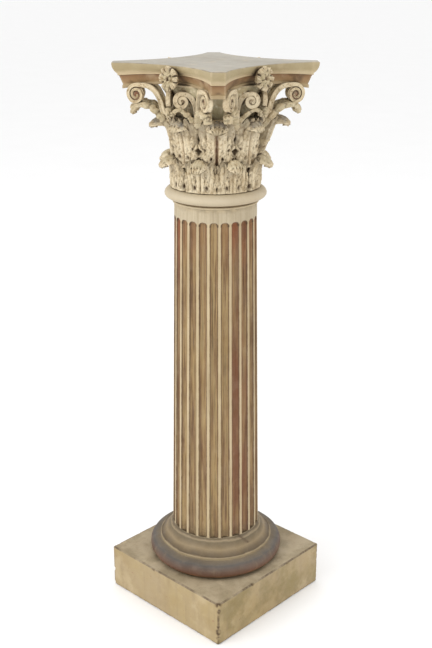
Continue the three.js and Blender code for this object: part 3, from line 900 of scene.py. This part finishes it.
def build_abacus():
    """The top slab: four hollow sides between cut horns, with its moulding below."""
    half_cut = HORN_HALF_SIDE - math.sqrt(2) * HORN_HALF_WIDTH
    sag = HORN_HALF_SIDE - SIDE_MIDDLE
    arc_radius = (half_cut ** 2 + sag ** 2) / (2 * sag)
    per_side, per_horn = 48, 6
    columns = SIDES * (per_side + per_horn)
    rows = finer(ABACUS_MOULDING, 3)

    def ring(inset, depth):
        """The sides move straight in, and the horns along the diagonals at their full width."""
        horn_inset = inset * math.sqrt(0.5)
        t = np.linspace(-1, 1, per_side + 1)
        edge = SIDE_MIDDLE + arc_radius - np.sqrt(arc_radius ** 2 - (half_cut * t) ** 2)
        along = edge - inset - (horn_inset - inset) * t ** 2
        aside = (half_cut - horn_inset) * t
        z = ABACUS_TOP - depth * (1 - MOULDING_SHRINK * (1 - t ** 2))
        between = np.linspace(0, 1, per_horn + 1)[1:-1, None]
        points = []
        for side in range(SIDES):
            here = spots(side * TURN / SIDES, along, aside, z)
            after = spots((side + 1) * TURN / SIDES, along, aside, z)[0]
            points.append(here)
            points.append(here[-1] + (after - here[-1]) * between)
        return np.vstack(points)

    rings = [ring(inset, depth) for inset, depth, _ in rows]
    middle = rings[0].mean(0)
    rings = [middle + (rings[0] - middle) * s for s in (0, 0.25, 0.5, 0.75)] + rings
    bands = np.concatenate([np.zeros(4), rows[:, 2], [1, 1]])
    angles = np.arctan2(rings[4][:, 1], rings[4][:, 0])
    rings.append(spots(angles, ABACUS_SEAT + 0 * angles, 0 * angles, ABACUS_FOOT))
    rings.append(spots(angles, 0 * angles, 0 * angles, ABACUS_FOOT))
    stack = np.array([np.vstack([one, one[:1]]) for one in rings])
    last = len(rings) - 1

    def shape(u, v):
        row = np.rint(v * last).astype(int)
        column = np.rint(u * columns).astype(int)
        points = stack[row, column]
        return points, {"band": bands[row]}

    piece = bent_grid("abacus_slab", columns, last, shape)
    # Wear and dirt along the top edge, and dark blotches in the hollow moulding
    points = corners(piece.data)
    worn = rippled(points / MM, 14, 3)
    near_edge = np.abs(points[:, 2] - (ABACUS_TOP - 1) * MM) < 0.004
    out = points * np.array([1, 1, 0])
    out /= np.maximum(np.linalg.norm(out, axis=1), 1e-9)[:, None]
    outer = np.linalg.norm(points[:, :2], axis=1) > 0.11
    points -= out * (np.clip(worn, 0, 1) * 0.9 * MM * near_edge * outer)[:, None]
    set_corners(piece.data, points)
    band = np.empty(len(points))
    piece.data.attributes["band"].data.foreach_get("value", band)
    blotch = eased(0.02, 0.3, rippled(points / MM, 22, 6)) * eased(0.46, 0.52, band)
    edge = eased(0.01, 0.04, band) * eased(0.13, 0.06, band)
    edge *= np.clip(rippled(points / MM, 17, 9) * 1.6 + 0.45, 0, 1)
    set_values(piece.data, "soil_and_shade", 0.6 * blotch * eased(0.86, 0.8, band) + 0.5 * edge)
    paint = band_paint("grey topped abacus", ABACUS_BANDS, wear=0.5, streaks=0.15)
    return finish_piece(piece, paint, "abacus_paint", "abacus", angle=38)


# Capital


def blade(name, angle, row, lean, relief, midrib, seed):
    """The standing part of a leaf: leaflets fan out from its foot to a scalloped top."""
    front, back, rows = 40, 8, 44
    columns = front + back
    heights, radii = np.array(row["blade"], float).T
    foot, top = heights[0], heights[-1]
    pipes, shadow, head_foot = row["pipes"], row["shadow"], row["notches"][-1][0]

    def shape(u, v):
        cut = front / columns
        u = np.where(u > 1 - 0.5 / columns, 0, u)
        on_front = u <= cut + 1e-6
        s = np.where(on_front, -1 + 2 * u / cut, 1 - 2 * (u - cut) / (1 - cut))
        a = np.abs(s)
        scallop = 6 * (1 - np.abs(np.sin(np.pi * 2.5 * s + 0.3 * seed)) ** 0.6)
        z = foot + (top - foot - scallop * eased(0.7, 1, v) - 5 * eased(0.8, 1, a)) * v
        height = (z - foot) / (top - foot)
        fan = a + 0.03 * np.sin(z * 0.16 + 5 * s + seed) * a
        upright = eased(0.01, 0.08, height)
        lift = np.full_like(s, -0.4 * relief)
        for fan_foot, foot_share, fan_tip, tip_share, half in row["leaflets"]:
            t = np.clip((height - foot_share) / (tip_share - foot_share), 0, 1)
            axis = fan_foot + (fan_tip - fan_foot) * t ** 1.3
            narrow = half * (0.7 + 0.3 * t) * np.sqrt(np.clip(1 - np.clip(t * 4 - 3, 0, 1) ** 2, 0, 1))
            x = (fan - axis) / np.maximum(narrow, 1e-4)
            dome = np.sqrt(np.clip(1 - x ** 2, 0, 1))
            vein = 0.3 * np.exp(-(x / 0.2) ** 2)
            body = relief * (0.95 * dome - vein - 0.25 + 0.7 * t * (1 - tip_share))
            lift = np.where(dome > 0.05, np.maximum(lift, body), lift)
        # Painted shade in the low ground between the leaflets
        soil_and_shade = eased(-0.1, -0.38, lift / relief) * 0.5
        pipe = fan / (0.85 + 0.25 * height) / 0.26 + 0.15 * np.sin(seed)
        groove = np.exp(-((pipe - np.rint(pipe)) / 0.13) ** 2) * upright
        lift += pipes * relief * (0.5 * np.abs(np.sin(np.pi * pipe)) ** 0.8 - 0.3 - 0.5 * groove)
        # Painted shade in the grooves between the pipes
        soil_and_shade = np.maximum(soil_and_shade, pipes * 0.55 * groove)
        lift -= midrib * eased(0.13, 0.07, a) * upright
        # Each groove ends below in a drilled eye under a pointed arch
        for eye_fan, eye_z, eye_height in row["eyes"]:
            narrow = 0.065 * np.clip(1 - (z - eye_z) / (3 * eye_height), 0.25, 1)
            eye = np.exp(-((fan - eye_fan) / narrow) ** 2 - ((z - eye_z) / eye_height) ** 2)
            # Painted shade in the drilled eye and along its arch groove
            lift -= 6.5 * eye
            soil_and_shade = np.maximum(soil_and_shade, 1.6 * eye)
            arch = (np.abs(fan - eye_fan) / 0.15) ** 1.3 + np.clip(z - eye_z, 0, 99) / (4.4 * eye_height)
            line = np.exp(-((arch - 1) / 0.1) ** 2) * (z > eye_z - eye_height)
            lift -= 0.5 * relief * line
            soil_and_shade = np.maximum(soil_and_shade, 0.75 * line)
            lift += 0.3 * relief * (arch < 0.95) * (z > eye_z - eye_height)
        # Painted shadow under the hood's rim
        soil_and_shade = np.maximum(soil_and_shade, 0.3 * eased(shadow - 8, shadow + 2, z) * eased(0.6, 0.3, a))
        lift += 2.6 * np.exp(-((height - 0.93) / 0.09) ** 2)
        lift -= 4 * eased(0.86, 1.0, a)
        notch = np.zeros_like(z)
        for notch_z, notch_depth in row["notches"]:
            past = z - notch_z
            notch += notch_depth * np.exp(-(past / np.where(past > 0, 3, 6)) ** 2)
        leant = lean * eased(foot, foot + LEAN_HEIGHT, z)
        radius = np.interp(z, heights, radii) + leant
        lift = np.where(on_front, lift, -(12 - 3 * height) - leant)
        # The head stretches upwards from the topmost notch
        z = z + (z - head_foot) * eased(0.6, 1, height)
        width = (BLADE_HALF_WIDTH - notch * eased(0.5, 1, a)) * np.where(on_front, 1, 0.96)
        turn = angle + s * width / np.maximum(radius, BELL_RADIUS)
        r = radius + lift
        points = spots(turn, r, 0 * r, z)
        bumps = rippled(points, 9, seed) + rippled(points, 4, seed + 3) * 0.5
        points = points + spots(turn, bumps * on_front, 0 * r, 0 * r)
        mid = eased(0.13, 0.06, a) * upright * eased(1, 3, midrib)
        tips = eased(0.8, 0.97, height)
        return points, {"grey": 0.9 * tips * ~on_front + 0.15 * tips, "soil_and_shade": soil_and_shade * on_front,
                        "red": mid * eased(0.98, 0.6, height), "olive": 0.35 * tips * on_front}

    return bent_grid(name, columns, rows, shape)


def hood(name, angle, row, reach, lean, rise, seed):
    """The tip of a leaf, curled over as a ribbed hood with a scalloped and drilled rim."""
    over, under, rows = 34, 10, 27
    columns = over + under
    lobes, rim = 2.5, 4
    droop, dust = row["droop"], row["dust"]
    line = smooth_path(row["hood"], 160)
    line[:, 0] = HOOD_ROOT + (line[:, 0] - HOOD_ROOT) * np.where(line[:, 0] > HOOD_ROOT, reach, 1)
    tangent = np.gradient(line[:, :2], axis=0)
    tangent /= np.linalg.norm(tangent, axis=1)[:, None]
    grid = np.linspace(0, 1, 160)

    def shape(u, v):
        cut = over / columns
        u = np.where(u > 1 - 0.5 / columns, 0, u)
        above = u <= cut + 1e-6
        s = np.where(above, np.sin((u / cut - 0.5) * np.pi), 1 - 2 * (u - cut) / (1 - cut))
        a = np.abs(s)
        lobe = np.abs(np.cos(np.pi * lobes * s))
        along = v * (1 - (0.16 * (1 - lobe) + 0.1 * a ** 3) * eased(0.5, 1, v))
        radius, z, thick = (np.interp(along, grid, column) for column in line.T)
        out_r = -np.interp(along, grid, tangent[:, 1])
        out_z = np.interp(along, grid, tangent[:, 0])
        wide = np.interp(along, HOOD_PLACES, row["hood_widths"])
        rib = 1 - lobe ** 0.6
        upper = thick - (thick - rim) * a ** 2.4 - 2.4 * rib * eased(0.1, 0.35, v)
        upper = upper + 1.6 * np.exp(-((v - 0.93) / 0.06) ** 2)
        # Painted shade on the hood's underside
        soil_and_shade = 0.3 * (~above) * eased(0.98, 0.7, v)
        # Painted shade in the drilled holes
        for hole in HOOD_HOLES:
            drilled = np.exp(-((s - hole) / 0.09) ** 2 - ((v - 0.84) / 0.05) ** 2) * above
            upper = upper - 4 * drilled
            soil_and_shade = np.maximum(soil_and_shade, drilled)
        lift = np.where(above, upper, 0)
        sag = droop * a ** 2
        r = radius + out_r * lift - 0.35 * sag + lean
        z = z + out_z * lift - sag + rise
        points = spots(angle, r, s * wide, z)
        bumps = rippled(points, 5, seed) * 1.2
        points = points + spots(angle, bumps * 0.5, 0 * r, bumps * 0.7)
        smudge = eased(0.05, 0.3, v) * eased(0.86, 0.74, v) * eased(0.98, 0.7, a) * above
        return points, {"grey": smudge * dust, "red": 0.4 * (~above) * eased(0.95, 0.5, v), "soil_and_shade": soil_and_shade,
                        "olive": smudge * (1 - dust) * 0.5 + 0.5 * (~above)}

    return bent_grid(name, columns, rows, shape)


def plane_of(kind, angle, hand):
    """Gives what places points in the upright plane of a scroll. Further in than the scroll,
    the plane bends towards the stalk."""
    out_there, aside_there, _ = kind["centre"]
    tilt = kind["tilt"]

    def place(x, z, out):
        near, far = np.maximum(x, PLANE_BEND), np.minimum(x - PLANE_BEND, 0)
        along = out_there + x * math.cos(tilt) + out * math.sin(tilt)
        aside = aside_there - near * math.sin(tilt) - far * math.sin(STEM_TILT) + out * math.cos(tilt)
        return spots(angle, along, hand * aside, z)

    return place


def ribbon(name, path, section, place, rows, seed, rough=0.35, knots=0):
    """A band along a path of [distance, height, width, depth], placed in a scroll's plane. The
    knots are swellings along it, for ragged leaves."""
    line = smooth_path(path, rows + 1)
    step = np.gradient(line[:, :2], axis=0)
    step /= np.maximum(np.linalg.norm(step, axis=1), 1e-9)[:, None]
    loop = np.array(list(section) + [section[0]], float)
    columns = len(section)

    def shape(u, v):
        row = np.rint(v * rows).astype(int)
        column = np.rint(u * columns).astype(int)
        x, z, width, depth = line[row].T
        swell = np.abs(np.sin(np.pi * knots * v + 0.4 * seed)) if knots else 0.65 + 0 * v
        swollen = 1 + 0.24 * (swell - 0.65)
        across = loop[column, 0] * width / 2 * swollen
        out = loop[column, 1] * depth / 2 * swollen
        x = x - step[row, 1] * across
        z = z + step[row, 0] * across
        points = place(x, z, out)
        points = points + (rippled(points, 8 if rough < 1 else 5.5, seed + 1) * rough)[:, None]
        # Painted shade in the creases between the knots and at the carrying leaf's foot
        soil_and_shade = 0.6 * eased(0.3, 0.05, swell) + (0.3 * eased(0.3, 0, v) if knots else 0)
        return points, {"grey": 0, "red": 0, "olive": 0.5 * (knots > 0), "soil_and_shade": soil_and_shade}

    return bent_grid(name, columns, rows, shape)


def scroll_path(kind):
    """Up the stem, then clockwise inwards from the top, where the band narrows evenly."""
    height, radius, depth = kind["centre"][2], kind["radius"], kind["depth"]
    start, end = kind["widths"]
    path = [(x, z, width, depth) for x, z, width in kind["stem"]]
    steps = 22
    for k in range(steps + 1):
        t = k / steps
        a = SPIRAL_START - t * kind["turns"] * TURN
        r = radius * (1 - SPIRAL_LOSS * t)
        path.append((r * math.cos(a), height + r * math.sin(a), start + (end - start) * t,
                     depth * (1 + 0.12 * t)))
    return path


def scroll(name, place, kind, seed):
    """A scroll with its stem and the web behind its spiral."""
    band = ribbon(name, scroll_path(kind), kind["section"], place, rows=74, seed=seed)

    def web(u, v):
        around = u * TURN
        reach = (kind["radius"] - 2) * np.sin(np.pi * np.clip(v, 0, 1)) ** 0.8
        out = kind["depth"] * 0.3 * np.cos(np.pi * v)
        points = place(reach * np.cos(around), kind["centre"][2] + reach * np.sin(around), out)
        return points, {"grey": 0, "red": kind["redness"], "olive": 0}

    return [band, bent_grid(name + "_web", 24, 6, web)]


def bud(name, place, kind, seed):
    """A ruffled clump at the tip of a carrying leaf."""
    x, z, size = kind["bud"]

    def shape(u, v):
        around = u * TURN
        lobe = np.abs(np.cos(2.5 * around + seed))
        reach = size * np.sin(np.pi * v) ** 0.8 * (0.72 + 0.28 * lobe ** 0.5)
        points = place(x + reach * np.cos(around), z + reach * np.sin(around),
                       -size * 0.8 * np.cos(np.pi * v))
        lumps = rippled(points, 5, seed + 5)
        away = points - points.mean(0)
        points = points + away * (0.28 * lumps)[:, None]
        # Painted shade between the lobes and in the hollows of the lumps
        soil_and_shade = np.maximum(0.8 * eased(0.4, 0.1, lobe), 0.8 * eased(-0.05, -0.4, lumps))
        return points, {"grey": 0, "red": 0, "olive": 0.6, "soil_and_shade": soil_and_shade}

    return bent_grid(name, 20, 12, shape)


def stalk(name, angle, seed):
    """A ribbed stalk from which two scrolls rise."""
    rows = 15
    line = smooth_path(STALK_LINE, rows + 1)

    def shape(u, v):
        radius, z = line[np.rint(v * rows).astype(int)].T
        around = u * TURN
        wide = np.interp(v, *STALK_WIDTHS)
        wide = wide * (1 + 0.08 * np.cos(around * STALK_RIBS) * eased(1, 0.8, v))
        points = spots(angle, radius + wide * np.cos(around) * 0.7, wide * np.sin(around), z)
        points = points + (rippled(points, 9, seed) * 0.4)[:, None]
        return points, {"grey": 0, "red": 0, "olive": 0}

    return bent_grid(name, 18, rows, shape)


def build_capital(sizes):
    """The bell, two rows of leaves, the stalks, and the scrolls with the leaves under them."""
    relief = sizes.leaf_relief / MM
    bell = turned("bell", BELL_PROFILE, 72, 9)
    for key, value in (("grey", 0), ("red", 0), ("olive", 0.75)):
        set_values(bell.data, key, np.full(len(bell.data.vertices), value))
    parts = [bell]
    for k in range(SIDES):
        corner = (k - 0.5) * TURN / SIDES
        face = k * TURN / SIDES
        for label, angle, lean, rise, reach, midrib in (
            ("corner", corner, UPPER_LEAN[k], UPPER_RISE[k], 1, 3),
            ("face", face, 0, FACE_RISE, FACE_REACH, 1.6),
        ):
            name = f"upper_{label}_leaf_{k}"
            parts.append(blade(name, angle, UPPER_ROW, lean, relief, midrib, 10 + k))
            parts.append(hood(name + "_tip", angle, UPPER_ROW, reach, lean, rise, 10 + k))
        for hand in (-1, 1):
            seed = 20 + 4 * k + hand
            tail = f"{k}_{hand + 1}"
            angle = corner + hand * LOWER_ANGLE
            parts.append(blade(f"lower_leaf_{tail}", angle, LOWER_ROW, 0, relief, 0.8, seed))
            parts.append(hood(f"lower_leaf_{tail}_tip", angle, LOWER_ROW, 1, 0, 0, seed))
            parts.append(stalk(f"stalk_{tail}", corner + hand * STALK_ANGLE, seed))
            for kind, middle in ((VOLUTE, corner), (INNER_SCROLL, face)):
                place = plane_of(kind, middle, hand)
                parts.extend(scroll(f"{kind['name']}_{tail}", place, kind, seed))
                parts.append(ribbon(f"{kind['leaf_name']}_{tail}", kind["leaf"], ROUNDED, place,
                                    rows=36, seed=seed, rough=2.4, knots=kind["knots"]))
                parts.append(bud(f"{kind['bud_name']}_{tail}", place, kind, seed))
    piece = joined("carved_capital", parts)
    return finish_piece(piece, leaf_paint(), "capital_paint", "capital", angle=48)


def build_flowers():
    """A ruffled flower with a sunk heart on the middle of each side of the abacus."""
    names = ("fleuron_front", "fleuron_right", "fleuron_back", "fleuron_left")
    paint = leaf_paint()
    for k, node in enumerate(names):
        angle = (k - 1) * TURN / SIDES

        def shape(u, v):
            around = u * TURN
            turned_by = around + 0.1 * np.sin(3 * around + k) - TURN / 4
            petal = np.abs(np.cos(PETALS / 2 * turned_by))
            inner = np.abs(np.cos(HEART_LOBES / 2 * turned_by + 0.4))
            crimp = np.abs(np.sin(CRIMPS / 2 * around + 2 * np.sin(v * 9)))
            reach = FLOWER_RADIUS * np.interp(v, *FLOWER_REACH)
            out = np.interp(v, *FLOWER_RELIEF)
            outer = eased(0.3, 0.5, v)
            heart = eased(0.12, 0.2, v) * eased(0.34, 0.26, v)
            reach = reach * (1 - 0.2 * (1 - petal ** 0.5) * outer)
            reach = reach * (1 + 0.08 * (crimp - 0.6) * outer)
            front = eased(0.86, 0.72, v)
            out = out - (8.5 * (1 - petal ** 0.4) + 2.8 * (1 - crimp) ** 2) * outer * front
            out = out - 4 * (1 - inner ** 0.5) * heart
            points = spots(angle, FLOWER_OUT + out, reach * np.cos(around),
                           FLOWER_HEIGHT + reach * np.sin(around))
            lumps = rippled(points, 6, 40 + k)
            points = points + spots(angle, lumps * 2.2, lumps * 1.4, lumps)
            points[:, 2] = np.minimum(points[:, 2], ABACUS_TOP - 0.2)
            # Painted shade between the petals, in the crimps and the heart, and on the back against the
            # abacus
            dark = eased(0.55, 0.2, petal) * outer + 0.5 * eased(0.3, 0.1, crimp) * outer
            dark = np.maximum(dark, 0.8 * eased(0.5, 0.2, inner) * heart + 0.7 * eased(0.8, 0.9, v))
            return points, {"grey": 0 * v, "red": eased(0.17, 0.08, v) * 0.9, "soil_and_shade": dark * 0.85,
                            "olive": 0.5 * eased(0.7, 0.3, v)}

        piece = bent_grid(node + "_flower", 144, 44, shape)
        finish_piece(piece, paint, "flower_paint", node, angle=55)


def mark_hollows_and_ridges():
    """Keeps on each mesh how shut in a point is, and how sharp the ridge it lies on."""
    pieces = [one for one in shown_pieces() if "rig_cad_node" not in one]
    points, faces, start = [], [], 0
    for piece in pieces:
        mesh = piece.data
        points.extend(vertex.co.copy() for vertex in mesh.vertices)
        faces.extend([start + k for k in polygon.vertices] for polygon in mesh.polygons)
        start += len(mesh.vertices)
    tree = BVHTree.FromPolygons(points, faces)
    golden = math.pi * (3 - math.sqrt(5))
    rays = []
    for k in range(RAY_COUNT):
        z = 1 - 2 * (k + 0.5) / RAY_COUNT
        r = math.sqrt(1 - z * z)
        rays.append(Vector((r * math.cos(golden * k), r * math.sin(golden * k), z)))
    for piece in pieces:
        mesh = piece.data
        shut = np.zeros(len(mesh.vertices))
        for vertex in mesh.vertices:
            normal = vertex.normal
            start_point = vertex.co + normal * RAY_START
            weight = hit = 0.0
            for ray in rays:
                facing = ray.dot(normal)
                if facing < 0.2:
                    continue
                weight += facing
                away = tree.ray_cast(start_point, ray, RAY_REACH)[3]
                if away is not None:
                    hit += facing * (1 - away / RAY_REACH)
            shut[vertex.index] = hit / max(weight, 1e-6)
        set_values(mesh, "hollow", shut)
        co = corners(mesh)
        normals = np.empty(len(co) * 3)
        mesh.vertices.foreach_get("normal", normals)
        normals = normals.reshape(-1, 3)
        pairs = np.empty(len(mesh.edges) * 2, int)
        mesh.edges.foreach_get("vertices", pairs)
        a, b = pairs.reshape(-1, 2).T
        span = co[b] - co[a]
        length = np.maximum(np.linalg.norm(span, axis=1), 1e-9)
        bend = np.zeros(len(co))
        number = np.zeros(len(co))
        np.add.at(bend, a, -(span * normals[a]).sum(1) / length)
        np.add.at(bend, b, (span * normals[b]).sum(1) / length)
        np.add.at(number, a, 1)
        np.add.at(number, b, 1)
        set_values(mesh, "ridge", bend / np.maximum(number, 1))


# Operators and panel


class COLUMN_OT_stage(bpy.types.Operator):
    """Set up the camera, the studio lights and the pale floor"""
    bl_idname = "column.stage"
    bl_label = "Stage"

    def execute(self, context):
        nothing_selected()
        bpy.ops.object.camera_add(location=CAMERA_PLACE,
                                  rotation=(math.pi / 2 - CAMERA_DOWN, 0, CAMERA_TURN))
        camera = context.object
        camera.data.lens = CAMERA_LENS
        camera.data.sensor_width = 36
        camera.data.clip_start = 0.05
        camera.data.clip_end = 200
        context.scene.camera = camera
        for place, size, power in LIGHTS:
            bpy.ops.object.light_add(type="AREA", location=place)
            light = context.object
            light.data.size = size
            light.data.energy = power
            light.rotation_mode = "QUATERNION"
            light.rotation_quaternion = (Vector(LIGHTS_AIM) - Vector(place)).to_track_quat("-Z", "Y")
        world = bpy.data.worlds.new("white studio")
        world.use_nodes = True
        world.node_tree.nodes["Background"].inputs["Color"].default_value = (1, 1, 1, 1)
        world.node_tree.nodes["Background"].inputs["Strength"].default_value = 1.0
        context.scene.world = world
        context.scene.view_settings.view_transform = "Standard"
        nothing_selected()
        bpy.ops.mesh.primitive_plane_add(size=90, location=(0, 0, 0))
        floor = context.object
        floor.name = "studio_floor"
        points = corners(floor.data)
        points[:, 2] = -0.0003
        set_corners(floor.data, points)
        floor.data.materials.append(floor_paint())
        floor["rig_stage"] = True
        return {"FINISHED"}


class COLUMN_OT_plinth(bpy.types.Operator):
    """Build the square plinth with its worn arrises"""
    bl_idname = "column.plinth"
    bl_label = "Plinth"

    def execute(self, context):
        build_plinth(context.scene.column_sizes)
        return {"FINISHED"}


class COLUMN_OT_base_moulding(bpy.types.Operator):
    """Turn the base moulding"""
    bl_idname = "column.base_moulding"
    bl_label = "Base Moulding"

    def execute(self, context):
        build_base_moulding()
        return {"FINISHED"}


class COLUMN_OT_shaft(bpy.types.Operator):
    """Build the fluted shaft"""
    bl_idname = "column.shaft"
    bl_label = "Fluted Shaft"

    def execute(self, context):
        build_shaft(context.scene.column_sizes)
        return {"FINISHED"}


class COLUMN_OT_neck_ring(bpy.types.Operator):
    """Turn the neck ring"""
    bl_idname = "column.neck_ring"
    bl_label = "Neck Ring"

    def execute(self, context):
        build_neck_ring()
        return {"FINISHED"}


class COLUMN_OT_capital(bpy.types.Operator):
    """Carve the capital: bell, leaves, stalks and scrolls"""
    bl_idname = "column.capital"
    bl_label = "Capital"

    def execute(self, context):
        build_capital(context.scene.column_sizes)
        return {"FINISHED"}


class COLUMN_OT_abacus(bpy.types.Operator):
    """Build the abacus with its moulding"""
    bl_idname = "column.abacus"
    bl_label = "Abacus"

    def execute(self, context):
        build_abacus()
        return {"FINISHED"}


class COLUMN_OT_flowers(bpy.types.Operator):
    """Build the four flowers"""
    bl_idname = "column.flowers"
    bl_label = "Flowers"

    def execute(self, context):
        build_flowers()
        return {"FINISHED"}


class COLUMN_OT_shade_and_wear(bpy.types.Operator):
    """Mark the hollows that hold grime and painted shade, and the ridges that are rubbed light and given
    painted highlights
    """
    bl_idname = "column.weathering"
    bl_label = "Weathering"

    def execute(self, context):
        mark_hollows_and_ridges()
        return {"FINISHED"}


STEPS = (
    COLUMN_OT_stage, COLUMN_OT_plinth, COLUMN_OT_base_moulding, COLUMN_OT_shaft,
    COLUMN_OT_neck_ring, COLUMN_OT_capital, COLUMN_OT_abacus, COLUMN_OT_flowers,
    COLUMN_OT_shade_and_wear,
)


class COLUMN_PT_panel(bpy.types.Panel):
    """Lists the column's sizes, colours and building steps"""
    bl_label = "Column"
    bl_idname = "COLUMN_PT_panel"
    bl_space_type = "VIEW_3D"
    bl_region_type = "UI"
    bl_category = "Column"

    def draw(self, context):
        layout = self.layout
        for group in (context.scene.column_sizes, context.scene.column_colours):
            box = layout.box()
            for key in group.bl_rna.properties.keys():
                if key not in {"rna_type", "name"}:
                    box.prop(group, key)
        for step in STEPS:
            layout.operator(step.bl_idname)


CLASSES = (ColumnSizes, ColumnColours, *STEPS, COLUMN_PT_panel)


def register():
    for cls in CLASSES:
        bpy.utils.register_class(cls)
    bpy.types.Scene.column_sizes = PointerProperty(type=ColumnSizes)
    bpy.types.Scene.column_colours = PointerProperty(type=ColumnColours)


def unregister():
    del bpy.types.Scene.column_colours
    del bpy.types.Scene.column_sizes
    for cls in reversed(CLASSES):
        bpy.utils.unregister_class(cls)


def main():
    register()
    bpy.ops.column.stage()
    bpy.ops.column.plinth()
    bpy.ops.column.base_moulding()
    bpy.ops.column.shaft()
    bpy.ops.column.neck_ring()
    bpy.ops.column.capital()
    bpy.ops.column.abacus()
    bpy.ops.column.flowers()
    bpy.ops.column.weathering()
    nothing_selected()


if __name__ == "__main__":
    main()
